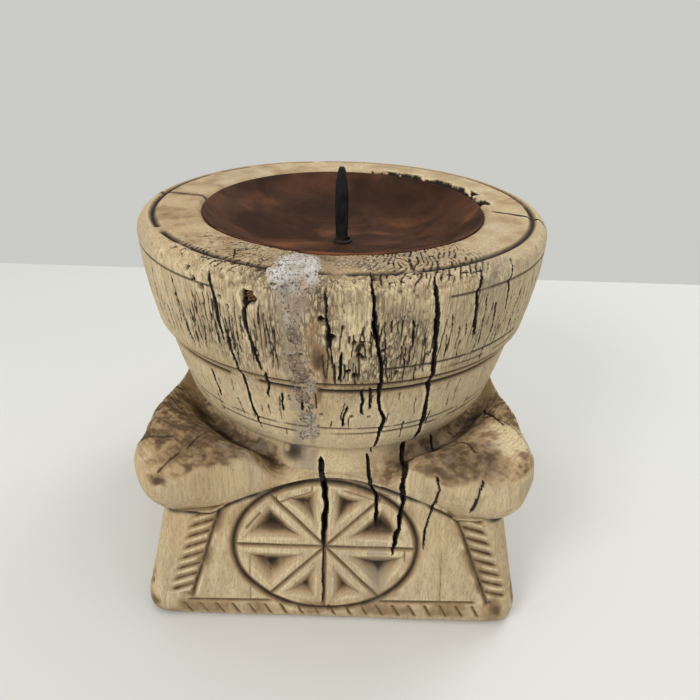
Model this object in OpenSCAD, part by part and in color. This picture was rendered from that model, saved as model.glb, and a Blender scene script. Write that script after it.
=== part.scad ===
// Pricket candle holder made from one old turned and carved block of wood:
// a round bowl on a short neck over a square foot with four lobed corners.
// Millimetres, +Z up, origin at the centre of the flat underside, front towards -Y.

/* [Wooden block] */
// Height of the wooden block from the floor to the top of the rim
wood_h = 145; // [130:1:160]
// Largest diameter of the bowl, over its rounded rim
rim_d = 154; // [146:1:160]
// Width of the foot just above the floor
foot_w = 144; // [136:1:148]
// Radius of the neck under the bowl
neck_r = 54; // [50:0.5:55]
// Reach of the corner lobes from the centre line, square across
lobe_reach = 73; // [70:0.5:76]

/* [Carved panels] */
// Width of the rosette on each side of the foot
rosette_w = 67; // [56:1:70]
// Height of the rosette, measured along the sloping panel
rosette_h = 52; // [46:1:54]
// Distance the rosette sits to the left of the middle of its panel
rosette_shift = 3; // [0:1:8]
// Width of the cut grooves
groove_w = 1.6; // [1:0.1:2]
// Depth of the triangular pockets of the rosette
pocket_depth = 1.4; // [1:0.1:2]

/* [Liner and spike] */
// Radius of the copper liner at its rim
liner_r = 52.8; // [48:0.2:56]
// Depth of the liner below the top of the wood
liner_depth = 15; // [12:0.5:20]
// Thickness of the copper sheet
sheet_t = 1; // [0.6:0.1:1.5]
// Width of the square spike
spike_w = 5; // [4:0.5:6]
// Height of the spike above the liner floor
spike_h = 29; // [24:1:34]
// Depth of the tang driven into the wood
tang_h = 26; // [18:1:32]

/* [Hidden] */

$fn = 96;
side_angles = [0, 90, 180, 270];
far = 200;

// Bowl wall, as radius and height, from the bead under the rim to the lip over the neck
rim_r = rim_d / 2;
bead_r = 6;
bead_z = wood_h - bead_r;
band_z = wood_h - 39;
lip_z = wood_h - 73.5;
wall_points = [
    [rim_r, wood_h - 8],
    [rim_r - 0.8, wood_h - 17],
    [rim_r - 2.4, wood_h - 27],
    [rim_r - 5.0, band_z],
    [rim_r - 7.4, band_z - 2],
    [rim_r - 9.0, band_z - 7],
    [rim_r - 11.2, band_z - 16],
    [rim_r - 13.4, band_z - 23.5],
    [rim_r - 14.8, lip_z + 6.5],
    [rim_r - 17.0, lip_z + 2.5],
    [rim_r - 19.2, lip_z],
];

// Turned grooves, as radius and height
top_ring = [rim_r - 4.5, wood_h];
turned_grooves = [
    top_ring,
    wall_points[0],
    wall_points[3],
    wall_points[5],
    wall_points[7],
];

// Square foot: slope of the four panels and the arched edge over them
foot_half = foot_w / 2;
foot_widest_z = 8;
panel_top_z = 63;
panel_slope = 0.21;
panel_tilt = atan(panel_slope);
arch_fall = 0.38;
arch_round = 10;
arch_half = 58;
arch_step = 4;
arch_top_z = 63;
arch_end_z = 47.5;
slab_top_z = 78;
corner_r = 16;
corner_span = lobe_reach - corner_r;
front_hollow = 11.5;
side_hollow = 7;
foot_corner_cut = 5;

// Rosette and border
rosette_z = 33;
rosette_y = foot_half - panel_slope * (rosette_z - foot_widest_z);
ring_steps = 36;
spokes = 8;
hub_r = 3.5;
border_notches = 8;
border_pitch = 4.8;
border_x = 54;
border_foot = -20;
border_lean = 17;
notch_length = 6;
notch_drop = 20;

// Liner: flat middle and a turned-up wall struck from one centre
bend_r = 40;
liner_top_z = wood_h - 0.6;
floor_z = wood_h - liner_depth;
bend_z = floor_z + bend_r;
flat_r = liner_r - sqrt(pow(bend_r, 2) - pow(bend_z - liner_top_z, 2));
bend_end = acos((bend_z - liner_top_z) / bend_r);
bend_steps = 10;

collar_r = 3.9;
collar_h = 1.3;
tang_w = 4;
tang_tip = 1.6;
spike_tip = 1.2;
spike_straight = 14;

peg_r = 1.8;
peg_turn = -20.5;
peg_z = wood_h - 9;
peg_in = 60;
peg_out = 75.4;

plaster_t = 0.8;
plaster_turn = -14;
plaster_sweep = 8.5;
plaster_pad_turn = -18;
plaster_pad_sweep = 13;

// A V-shaped groove turned into the wood at one radius and height
module turned_groove(at) {
    rotate_extrude()
        translate(at)
            rotate(45)
                square(groove_w, center = true);
}

// Solid of the bowl and the neck before anything is cut into it
module bowl_solid() {
    rotate_extrude()
        polygon(concat(
            [[0, wood_h], [rim_r - bead_r, wood_h], [rim_r - bead_r, bead_z], [rim_r, bead_z]],
            wall_points,
            [[neck_r + 1, lip_z - 0.8], [neck_r, lip_z - 2], [neck_r, panel_top_z - 20], [0, panel_top_z - 20]]
        ));
    rotate_extrude()
        translate([rim_r - bead_r, bead_z])
            circle(bead_r);
}

// A long bar of one section, given as half width and height, running along the Y axis
module long_bar(half_outline) {
    mirrored = [for (i = [len(half_outline) - 1 : -1 : 0]) [-half_outline[i][0], half_outline[i][1]]];
    rotate([90, 0, 0])
        linear_extrude(far, center = true)
            polygon(concat(half_outline, mirrored));
}

// Solid that shows one outline from the front and another from the side
module square_loft(front_outline, side_outline) {
    intersection() {
        long_bar(front_outline);
        rotate(90)
            long_bar(side_outline);
    }
}

// Disc that hollows one edge of the slab by a depth, from corner to corner
module edge_hollow(depth) {
    hollow_r = (pow(corner_span, 2) + pow(depth, 2)) / (2 * depth);
    translate([0, -lobe_reach + depth - hollow_r])
        circle(hollow_r, $fn = 360);
}

// Plan of the slab: a square with rounded corners and hollow edges, deeper at the front and back
module slab_plan() {
    difference() {
        union() {
            square([2 * lobe_reach, 2 * corner_span], center = true);
            square([2 * corner_span, 2 * lobe_reach], center = true);
            for (x = [-corner_span, corner_span], y = [-corner_span, corner_span])
                translate([x, y])
                    circle(corner_r);
        }
        for (turn = [0, 180]) {
            rotate(turn)
                edge_hollow(front_hollow);
            rotate(turn + 90)
                edge_hollow(side_hollow);
        }
    }
}

// Height of the arched edge: two straight slopes with a rounded top
function arch_z(x) = max(arch_end_z, arch_top_z - arch_fall * (sqrt(x * x + arch_round * arch_round) - arch_round));

// Space under the arched edge of one side of the slab
module arch_space() {
    arch = [for (x = [-arch_half : arch_step : arch_half]) [x, arch_z(x)]];
    rotate([90, 0, 0])
        translate([0, 0, neck_r])
            linear_extrude(far)
                polygon(concat(
                    [[-far / 2, arch_end_z - 20]],
                    [[-far / 2, arch_end_z]],
                    arch,
                    [[far / 2, arch_end_z]],
                    [[far / 2, arch_end_z - 20]]
                ));
}

// Slab with four corner lobes, dished on top where it runs into the neck
module lobed_slab() {
    lower_edge = [
        [58, arch_end_z - 2],
        [66, arch_end_z + 1],
        [lobe_reach - 2.5, 52],
        [lobe_reach - 0.6, 58],
        [lobe_reach, 63],
    ];
    steep_top = [
        [lobe_reach - 0.2, 67],
        [lobe_reach - 1.2, 71],
        [lobe_reach - 3.5, 75],
        [lobe_reach - 7, 77],
        [60, slab_top_z],
    ];
    sloping_top = [
        [lobe_reach - 1, 66.5],
        [lobe_reach - 4, 70],
        [lobe_reach - 10, 73.5],
        [lobe_reach - 20, 76.5],
        [45, slab_top_z],
    ];
    difference() {
        intersection() {
            square_loft(concat(lower_edge, steep_top), concat(lower_edge, sloping_top));
            linear_extrude(slab_top_z + 1)
                slab_plan();
            rotate_extrude()
                polygon([
                    [0, 30], [110, 30], [110, 79], [94, 78.5], [80, 77], [70, 74], [66, 71.2],
                    [63, 67.8], [60.5, 65.2], [58, 64.2], [56, 65.2], [neck_r, 68], [0, 68],
                ]);
        }
        for (turn = side_angles)
            rotate(turn)
                arch_space();
    }
}

// Foot that widens down to the floor, with four sloping panels and blunted corners
module foot() {
    panel_top_half = foot_half - panel_slope * (panel_top_z - foot_widest_z);
    outline = [
        [foot_half - 2.5, 0],
        [foot_half - 0.4, 2.5],
        [foot_half, foot_widest_z],
        [panel_top_half, panel_top_z],
    ];
    corner_outline = [
        [foot_half * sqrt(2) - foot_corner_cut, 0],
        [panel_top_half * sqrt(2) - foot_corner_cut, panel_top_z],
    ];
    intersection() {
        square_loft(outline, outline);
        rotate(45)
            square_loft(corner_outline, corner_outline);
    }
}

// Moves flat work onto the front panel: x across, y up the slope, +z out of the wood
module on_panel() {
    translate([0, -rosette_y, rosette_z])
        rotate([90 - panel_tilt, 0, 0])
            children();
}

// A straight V groove cut into the panel, starting at the origin and running along x
module straight_groove(length) {
    translate([length / 2, 0, 0])
        rotate([45, 0, 0])
            cube([length, groove_w, groove_w], center = true);
}

function ring_points(w, h) =
    [for (i = [0 : ring_steps - 1]) [w / 2 * cos(i * 360 / ring_steps), h / 2 * sin(i * 360 / ring_steps)]];

// Distance from the middle of the rosette to its ring in one direction
function ring_reach(a) = 1 / sqrt(pow(cos(a) / (rosette_w / 2), 2) + pow(sin(a) / (rosette_h / 2), 2));

// Ring, eight spokes around a plain hub and the chip-carved pockets between them
module rosette_cuts() {
    linear_extrude(2 * groove_w, center = true)
        difference() {
            polygon(ring_points(rosette_w, rosette_h));
            polygon(ring_points(rosette_w - 2 * groove_w, rosette_h - 2 * groove_w));
        }
    for (i = [0 : spokes - 1]) {
        a = i * 360 / spokes;
        between = a + 180 / spokes;
        rotate(a)
            translate([hub_r, 0, 0])
                straight_groove(ring_reach(a) - groove_w - hub_r);
        rotate(between)
            linear_extrude(2 * pocket_depth, center = true)
                polygon([
                    [ring_reach(between) * 0.42, 0],
                    [ring_reach(between) * 0.82, -5.5],
                    [ring_reach(between) * 0.82, 5.5],
                ]);
    }
}

// Slanted notches of the two side borders, with the groove that bounds each one
module border_cuts() {
    for (side = [0, 1])
        mirror([side, 0, 0])
            translate([border_x, border_foot, 0])
                rotate(border_lean) {
                    rotate(90)
                        straight_groove(border_notches * border_pitch);
                    for (i = [1 : border_notches])
                        translate([0, (i - 0.5) * border_pitch, 0])
                            rotate(-border_lean - notch_drop)
                                straight_groove(notch_length);
                }
}

// Carving on all four sides
module panel_carving() {
    for (turn = side_angles)
        rotate(turn)
            on_panel() {
                translate([-rosette_shift, 0, 0])
                    rosette_cuts();
                border_cuts();
            }
}

// Outline of the liner in section, grown outwards by a distance
function liner_curve(grow) = [
    for (i = [0 : bend_steps])
        [
            flat_r + (bend_r + grow) * sin(bend_end * i / bend_steps),
            bend_z - (bend_r + grow) * cos(bend_end * i / bend_steps),
        ]
];

// Hollow in the top of the wood that the liner fills
module liner_hollow() {
    rotate_extrude()
        polygon(concat(
            [[0, floor_z - sheet_t]],
            liner_curve(sheet_t),
            [[liner_r + 1.2, wood_h + 1], [0, wood_h + 1]]
        ));
}

// Square bar drawn to a point above and to a tang below, seen the same from both sides
module spike_bar() {
    outline = [
        [tang_tip / 2, floor_z - sheet_t - tang_h],
        [tang_w / 2, floor_z - sheet_t - 2],
        [tang_w / 2, floor_z],
        [spike_w / 2, floor_z],
        [spike_w / 2, floor_z + spike_straight],
        [spike_tip / 2, floor_z + spike_h],
    ];
    square_loft(outline, outline);
}

module peg_bar(out) {
    rotate([0, 0, peg_turn])
        translate([0, -peg_in, peg_z])
            rotate([90, 0, 0])
                cylinder(h = out - peg_in, r = peg_r);
}

module wood_block() {
    color("BurlyWood")
        difference() {
            union() {
                bowl_solid();
                lobed_slab();
                foot();
            }
            for (at = turned_grooves)
                turned_groove(at);
            liner_hollow();
            spike_bar();
            peg_bar(rim_r + 1);
            panel_carving();
        }
}

module copper_liner() {
    inside = liner_curve(0);
    outside = liner_curve(sheet_t);
    color("SaddleBrown")
        difference() {
            rotate_extrude()
                polygon(concat(
                    [[0, floor_z - sheet_t]],
                    outside,
                    [for (i = [bend_steps : -1 : 0]) inside[i]],
                    [[0, floor_z]]
                ));
            spike_bar();
        }
}

module iron_spike() {
    color("DimGray")
        spike_bar();
}

module spike_collar() {
    color("DimGray")
        difference() {
            translate([0, 0, floor_z])
                cylinder(h = collar_h, r = collar_r);
            spike_bar();
        }
}

module peg_stub() {
    color("Sienna")
        peg_bar(peg_out);
}

// Skin on the turned wood, as thick as the plaster, between two angles from the front
module plaster_skin(section, start, sweep) {
    last = len(section) - 1;
    skin = [for (i = [last : -1 : 0]) section[i] + plaster_t * [section[i][0], section[i][1] - lip_z] / rim_r];
    rotate([0, 0, start - 90])
        rotate_extrude(angle = sweep)
            polygon(concat(section, skin));
}

module lime_plaster() {
    bead_top = rim_r - bead_r;
    bead_points = [
        [bead_top, wood_h],
        [bead_top + bead_r * sin(45), bead_z + bead_r * cos(45)],
        [rim_r, bead_z],
    ];
    streak = concat([bead_points[1], bead_points[2]], wall_points);
    pad = concat([[liner_r + 3, wood_h]], bead_points);
    color("Gainsboro") {
        plaster_skin(streak, plaster_turn, plaster_sweep);
        plaster_skin(pad, plaster_pad_turn, plaster_pad_sweep);
    }
}

wood_block();
copper_liner();
iron_spike();
spike_collar();
peg_stub();
lime_plaster();
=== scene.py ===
"""Looks for a pricket candle holder: one block of old cracked wood with a copper dish and an iron spike.

Shapes are worked out in millimetres, in the CAD frame: +Z up, front towards -Y. Angles round the block
are in degrees from the front, positive towards +X. Meshes are scaled to metres when they are made.
"""

import itertools
import math

import bpy
import numpy as np
from mathutils import Matrix, Vector


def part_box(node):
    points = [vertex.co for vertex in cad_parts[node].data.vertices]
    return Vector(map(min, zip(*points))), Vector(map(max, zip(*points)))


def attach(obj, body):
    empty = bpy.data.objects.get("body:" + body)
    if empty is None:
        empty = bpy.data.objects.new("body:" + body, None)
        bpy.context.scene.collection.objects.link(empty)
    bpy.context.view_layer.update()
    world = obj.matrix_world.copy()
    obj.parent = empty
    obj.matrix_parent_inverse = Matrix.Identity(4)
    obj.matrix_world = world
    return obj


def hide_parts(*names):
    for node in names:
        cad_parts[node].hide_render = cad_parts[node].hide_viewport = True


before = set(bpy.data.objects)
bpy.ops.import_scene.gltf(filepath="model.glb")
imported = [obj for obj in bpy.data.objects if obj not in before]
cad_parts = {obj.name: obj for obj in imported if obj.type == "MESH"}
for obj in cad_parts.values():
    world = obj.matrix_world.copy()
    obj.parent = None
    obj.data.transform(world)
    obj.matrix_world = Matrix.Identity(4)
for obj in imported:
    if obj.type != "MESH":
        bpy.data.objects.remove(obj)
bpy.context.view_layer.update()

MM = 1000.0
SEED = 41


def box_mm(node):
    """Lowest and highest corners of a CAD node, in millimetres."""
    return [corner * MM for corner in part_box(node)]


# ---------------------------------------------------------------- sizes taken from the frame
wood_high = box_mm("wood_block")[1]
liner_low, liner_high = box_mm("copper_liner")
spike_low, spike_high = box_mm("iron_spike")
collar_low, collar_high = box_mm("spike_collar")
peg_low, peg_high = box_mm("peg_stub")

RIM_R = wood_high.x
RIM_Z = wood_high.z
LINER_TOP = liner_high.z
PEG_ANGLE = math.degrees(math.atan2(peg_low.x + peg_high.x, -(peg_low.y + peg_high.y)))
PEG_Z = (peg_low.z + peg_high.z) / 2
PEG_R = (peg_high.z - peg_low.z) / 2

# ---------------------------------------------------------------- sizes of the design
BEAD_R = 6.0
BEAD_IN = RIM_R - BEAD_R
SHEET = 1.0
LINER_FLOOR = liner_low.z + SHEET
BEND_R = 40.0
BEND_Z = LINER_FLOOR + BEND_R
BEND_END = 50.2
LINER_R = 52.8
FLAT_R = LINER_R - math.sqrt(BEND_R**2 - (BEND_Z - LINER_TOP) ** 2)
HOLLOW_GAP = 0.3
NECK_R = 54.0
LOBE = 73.0
CORNER_R = 16.0
FRONT_HOLLOW, SIDE_HOLLOW = 11.5, 7.0
FOOT = 72.0
FOOT_WIDEST_Z = 8.0
PANEL_SLOPE = 0.21
ARCH_TOP, ARCH_END, ARCH_FALL, ARCH_ROUND = 62.6, 46.5, 0.38, 10
ROSETTE_U, ROSETTE_Z, ROSETTE_HALF_U, ROSETTE_HALF_Z = -2.8, 33.0, 34.4, 26.4
SPIKE_H, TANG_H = 29.0, 27.0

# ---------------------------------------------------------------- grid of the wooden block
COLUMNS = 1280
ROW_STEP = 0.4
SLAB_TOP_ROWS = 96
SLAB_SIDE_ROWS = 50
UNDER_ROWS = 30
PANEL_ROWS = 130
# Numbers per point for the wood's colour: besides real grain, stains and wear, they carry painted shade in
# grooves, pockets, hollows and under the slab's edge, and painted highlights on ridges.
FIELDS = ("dark", "pale", "stain", "grey", "weather")


# ================================================================ small helpers
def noise(points, cell, seed):
    """Smooth noise from 0 to 1. Its lumps have the size cell, one for all axes or one for each."""
    table = np.random.default_rng(SEED + seed)
    order = table.permutation(256)
    values = table.random(256)
    grid = points / np.asarray(cell, float)
    low = np.floor(grid).astype(np.int64)
    part = grid - low
    part = part * part * (3 - 2 * part)
    total = np.zeros(points.shape[:-1])
    for corner in itertools.product((0, 1), repeat=points.shape[-1]):
        key = 0
        weight = 1.0
        for axis, step in enumerate(corner):
            key = order[(key + low[..., axis] + step) & 255]
            weight = weight * (part[..., axis] if step else 1 - part[..., axis])
        total += values[key] * weight
    return total


def layered_noise(points, cell, seed, layers=3, fade=0.5):
    """Noise with finer layers added, each half the size of the last."""
    total, weight, sum_weight = 0.0, 1.0, 0.0
    for layer in range(layers):
        total = total + weight * noise(points, np.asarray(cell, float) / 2**layer, seed + layer)
        sum_weight += weight
        weight *= fade
    return total / sum_weight


def line_noise(values, cell, seed):
    """Noise from -1 to 1 along one number."""
    return 2 * noise(np.asarray(values, float)[..., None], cell, seed) - 1


def ramp(value, low, high):
    """0 below low, 1 above high, smooth between."""
    t = np.clip((value - low) / (high - low), 0, 1)
    return t * t * (3 - 2 * t)


def bump(value, middle, half):
    """A smooth hill of height 1 at middle, down to 0 at half away."""
    return ramp(1 - np.abs(value - middle) / half, 0, 1)


def bell(distance, half):
    """1 where distance is 0, about a third at half away, fading out softly."""
    return np.exp(-((distance / half) ** 2))


def ridge(distance, half):
    """1 where distance is 0, falling in a straight line to 0 at half away."""
    return np.clip(1 - np.abs(distance) / half, 0, 1)


def wrap(angle):
    """An angle in degrees brought into -180 to 180."""
    return (angle + 180) % 360 - 180


def to_segment(x, y, start, end):
    """Distance of every point from the straight line between two places."""
    run_x, run_y = end[0] - start[0], end[1] - start[1]
    off_x, off_y = x - start[0], y - start[1]
    share = np.clip((off_x * run_x + off_y * run_y) / (run_x**2 + run_y**2), 0, 1)
    return np.hypot(off_x - share * run_x, off_y - share * run_y)


def resample(points, step):
    """Points about one step apart along a polyline."""
    points = np.asarray(points, float)
    lengths = np.hypot(*np.diff(points, axis=0).T)
    along = np.concatenate([[0], np.cumsum(lengths)])
    count = int(round(along[-1] / step))
    places = np.linspace(0, along[-1], count + 1)
    return np.stack([np.interp(places, along, points[:, axis]) for axis in (0, 1)], axis=-1)


def soften(values, width):
    """Moving average along the first axis that keeps the two ends."""
    kernel = np.hanning(width + 2)[1:-1]
    kernel = kernel / kernel.sum()
    padded = np.concatenate([values[:1].repeat(width // 2, 0), values, values[-1:].repeat(width // 2, 0)])
    return np.stack([np.convolve(padded[:, axis], kernel, "valid") for axis in range(values.shape[1])], -1)


def blur_ring(values, width):
    """Moving average round the ring of columns."""
    reach = width // 2
    return sum(np.roll(values, step, axis=-1) for step in range(-reach, reach + 1)) / (2 * reach + 1)


def blur_rows(values, width):
    """Moving average down the rows, in place, that leaves the first and last rows alone."""
    reach = width // 2
    last = len(values) - reach
    values[reach:last] = sum(values[reach + step : last + step] for step in range(-reach, reach + 1)) / width


def swing_of(columns, offset=0.0):
    """Directions of the columns of a ring, in radians from the front; the offset is in degrees."""
    return np.radians(np.arange(columns) * 360 / columns + offset)


def ring_points(radius, height, swing):
    """Points in the directions swing, at a radius and height for each row or for each point."""
    east, north = radius * np.sin(swing), -radius * np.cos(swing)
    return np.stack([east, north, np.broadcast_to(height, east.shape)], axis=-1)


def ring_faces(rows, columns):
    """Quads between rows of points that each run right round."""
    at = np.arange(rows * columns).reshape(rows, columns)
    beside = np.roll(at, -1, axis=1)
    return np.stack([at[:-1], at[1:], beside[1:], beside[:-1]], axis=-1).reshape(-1, 4)


def rod_faces(rows, columns):
    """Faces of a rod of rings that run outwards: its side, its far end and its near end."""
    ring = np.arange(columns)
    far_end = (rows - 1) * columns + ring
    return [ring_faces(rows, columns)[:, ::-1], far_end[None, :], ring[None, ::-1]]


def turned_faces(rows, columns):
    """Quads of a closed profile turned right round."""
    at = np.arange(rows * columns).reshape(rows, columns)
    closed = np.concatenate([at, at[:1]])
    beside = np.roll(closed, -1, axis=1)
    return np.stack([closed[:-1], beside[:-1], beside[1:], closed[1:]], -1).reshape(-1, 4)


def make_mesh(name, points, faces, material, smooth=True):
    """A mesh object from points in millimetres and a list of arrays of faces with equal corner counts."""
    mesh = bpy.data.meshes.new(name)
    points = np.asarray(points, np.float32).reshape(-1, 3) / MM
    corners = np.concatenate([np.asarray(group, np.int32).ravel() for group in faces])
    sizes = np.concatenate([np.full(len(group), np.asarray(group).shape[1], np.int32) for group in faces])
    mesh.vertices.add(len(points))
    mesh.vertices.foreach_set("co", points.astype(np.float32).ravel())
    mesh.loops.add(len(corners))
    mesh.loops.foreach_set("vertex_index", corners)
    mesh.polygons.add(len(sizes))
    mesh.polygons.foreach_set("loop_start", np.concatenate([[0], np.cumsum(sizes)[:-1]]).astype(np.int32))
    mesh.polygons.foreach_set("use_smooth", np.full(len(sizes), smooth))
    mesh.update(calc_edges=True)
    mesh.validate()
    mesh.materials.append(material)
    made = bpy.data.objects.new(name, mesh)
    bpy.context.scene.collection.objects.link(made)
    return made


def set_field(made, name, values):
    """Stores one number per point on a mesh, for its material."""
    field = made.data.attributes.new(name, "FLOAT", "POINT")
    field.data.foreach_set("value", np.asarray(values, np.float32).ravel())


# ================================================================ shape of the wooden block
def bowl_profile():
    """Radius and height down the turned part: hollow, rim, bead, wall, lip and neck."""
    hollow_r = BEND_R + SHEET + HOLLOW_GAP
    rise = np.radians(np.linspace(4, 49.5, 24))
    hollow = np.stack([FLAT_R + hollow_r * np.sin(rise), BEND_Z - hollow_r * np.cos(rise)], -1)
    turn = np.radians(np.linspace(90, -8, 24))
    bead = np.stack([BEAD_IN + BEAD_R * np.cos(turn), RIM_Z - BEAD_R + BEAD_R * np.sin(turn)], -1)
    wall = [
        (RIM_R - 0.1, RIM_Z - 8), (RIM_R - 0.9, RIM_Z - 17), (RIM_R - 2.5, RIM_Z - 27),
        (RIM_R - 5, RIM_Z - 38.6), (RIM_R - 7.4, RIM_Z - 41), (RIM_R - 9, RIM_Z - 46),
        (RIM_R - 11.2, RIM_Z - 55), (RIM_R - 13.4, RIM_Z - 62.5), (RIM_R - 14.8, RIM_Z - 67),
        (RIM_R - 17, RIM_Z - 71), (RIM_R - 19.4, RIM_Z - 73.4),
    ]
    neck = [
        (NECK_R + 1, RIM_Z - 74.4), (NECK_R, RIM_Z - 75.8), (NECK_R, RIM_Z - 77.5),
        (NECK_R + 1.6, RIM_Z - 80), (NECK_R + 4, RIM_Z - 81.2),
    ]
    inner_edge = [(LINER_R + 2.4, RIM_Z - 0.2), (LINER_R + 3.4, RIM_Z)]
    outline = np.concatenate([hollow, inner_edge, bead, wall, neck])
    return soften(resample(outline, ROW_STEP), 5)


def slab_top(radius, swing):
    """Height of the top of the slab: a dish round the neck, cut away towards the four edges."""
    dish = np.interp(radius, [58, 60.5, 63, 66, 70, 80, 94], [64.2, 65.2, 67.8, 71.2, 74, 77, 78.5])
    to_side = np.abs(radius * np.sin(swing))
    to_front = np.abs(radius * np.cos(swing))
    steep = np.interp(to_side, [60, 66, 69.5, 71.8, 72.8, LOBE + 0.5], [78, 77, 75, 71, 67, 63])
    sloping = np.interp(to_front, [45, 53, 63, 69, 72, LOBE + 0.5], [78, 76.5, 73.5, 70, 66.5, 63])
    return np.minimum(dish, np.minimum(steep, sloping))


def arch_height(across):
    """Height of the arched edge over a carved panel: two straight slopes with a rounded top."""
    return np.maximum(ARCH_END, ARCH_TOP - ARCH_FALL * (np.hypot(across, ARCH_ROUND) - ARCH_ROUND))


def slab_reach(turn, hollow_depth):
    """Plan of the slab: distance to its edge at an angle from the middle of a side, in radians."""
    corner = LOBE - CORNER_R
    hollow_r = (corner**2 + hollow_depth**2) / (2 * hollow_depth)
    centre = LOBE - hollow_depth + hollow_r
    inside = np.maximum((centre * np.cos(turn)) ** 2 - (centre**2 - hollow_r**2), 0)
    hollow = centre * np.cos(turn) - np.sqrt(inside)
    spread = corner * (np.cos(turn) + np.abs(np.sin(turn)))
    rounded = spread + np.sqrt(np.maximum(spread**2 - 2 * corner**2 + CORNER_R**2, 0))
    past_corner = np.abs(np.tan(turn)) > corner / LOBE
    return blur_ring(np.where(past_corner, rounded, hollow), 25)


def foot_reach(turn, half):
    """Plan of the foot, a square with blunted corners."""
    power = 18.0
    return half * (np.cos(turn) ** power + np.abs(np.sin(turn)) ** power) ** (-1 / power)


def shares(rows):
    """The share of the way down a part at each of its rows, from just over 0 to 1."""
    return np.linspace(0, 1, rows + 1)[1:, None]


def base_grid():
    """Radius and height of every grid point of the block before wear, with the row where each part starts."""
    theta = np.arange(COLUMNS) * 360 / COLUMNS
    turn = np.radians(theta - 90 * np.round(theta / 90))
    front_or_back = np.round(theta / 90) % 2 == 0
    reach = slab_reach(turn, np.where(front_or_back, FRONT_HOLLOW, SIDE_HOLLOW))
    shoulder_half, shoulder_soft = 27, 12
    shoulder = ramp(shoulder_half - np.abs(np.degrees(turn)), 0, shoulder_soft) * front_or_back

    # turned part, with the neck spread into the slab at the front and the back
    profile = bowl_profile()
    turned_r = np.repeat(profile[:, :1], COLUMNS, 1)
    turned_z = np.repeat(profile[:, 1:], COLUMNS, 1)
    shoulder_z, shoulder_slope = 72.5, 0.78
    low = (turned_z < shoulder_z - 0.5) & (turned_r < NECK_R + 5)
    spread_out = NECK_R + (shoulder_z - turned_z) * shoulder_slope
    turned_r = turned_r + np.where(low, (spread_out - turned_r).clip(0) * shoulder, 0)
    radius, height = [turned_r], [turned_z]

    # top of the slab, from the neck to its edge
    start_r = turned_r[-1]
    closer_at_edge, fillet, edge_round = 1.6, 1.8, 1.2
    top_r = start_r + (reach - start_r) * (1 - (1 - shares(SLAB_TOP_ROWS)) ** closer_at_edge)
    into_edge = np.clip((top_r - reach + fillet) / fillet, 0, 1)
    neck_slope = profile[-1, 1] - (top_r - start_r) * 0.9
    top_z = slab_top(top_r, np.radians(theta)) * (1 - shoulder) + neck_slope * shoulder
    top_z -= 0.9 * fillet * (1 - np.sqrt(1 - into_edge**2))
    under_z = arch_height(reach * np.sin(turn))
    edge_z = np.maximum(top_z[-1], under_z + edge_round)
    top_z[-1] = edge_z
    radius.append(top_r)
    height.append(top_z)

    # side of the slab, tucked in below, down to the arched edge
    side_z = edge_z + (under_z - edge_z) * (1 - (1 - shares(SLAB_SIDE_ROWS)) ** 1.3)
    tuck = np.interp(side_z, [45.5, 48.5, 52, 58, 63], [15, 7, 2.5, 0.6, 0])
    into_edge = np.clip((under_z + edge_round - side_z) / edge_round, 0, 1)
    side_r = reach - tuck - 0.8 * (1 - np.sqrt(1 - into_edge**2))
    radius.append(side_r)
    height.append(side_z)

    # underside of the slab, then the sloping panels and the edge that stands on the floor
    under_drop = 0.4
    inner_z = under_z - under_drop
    inner_r = foot_reach(turn, FOOT - PANEL_SLOPE * (inner_z - FOOT_WIDEST_Z))
    radius.append(side_r[-1] + (inner_r - side_r[-1]) * shares(UNDER_ROWS))
    height.append(under_z - under_drop * shares(UNDER_ROWS))
    panel_z = inner_z + (FOOT_WIDEST_Z - inner_z) * shares(PANEL_ROWS)
    radius.append(foot_reach(turn, FOOT - PANEL_SLOPE * (panel_z - FOOT_WIDEST_Z)))
    height.append(panel_z)
    foot_edge = [(0, FOOT_WIDEST_Z), (0, 5), (-0.5, 2.2), (-2.2, 0.4), (-4, 0)]
    for shrink, z in resample(foot_edge, 0.7)[1:]:
        radius.append(foot_reach(turn, FOOT + shrink)[None])
        height.append(np.full((1, COLUMNS), z))

    rows = np.cumsum([len(part) for part in radius])
    starts = dict(zip(("slab_top", "slab_side", "under", "panel", "foot"), rows))
    radius, height = np.concatenate(radius), np.concatenate(height)
    for values in (radius, height):
        for _ in range(2):
            blur_rows(values[starts["slab_top"] + 4 : starts["under"] - 2], 17)
    return theta, radius, height, starts


def grid_normals(points):
    """Outward direction at every grid point."""
    down = np.gradient(points, axis=0)
    along = np.roll(points, -1, axis=1) - np.roll(points, 1, axis=1)
    out = np.cross(down, along)
    return out / np.maximum(np.linalg.norm(out, axis=-1, keepdims=True), 1e-9)


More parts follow.
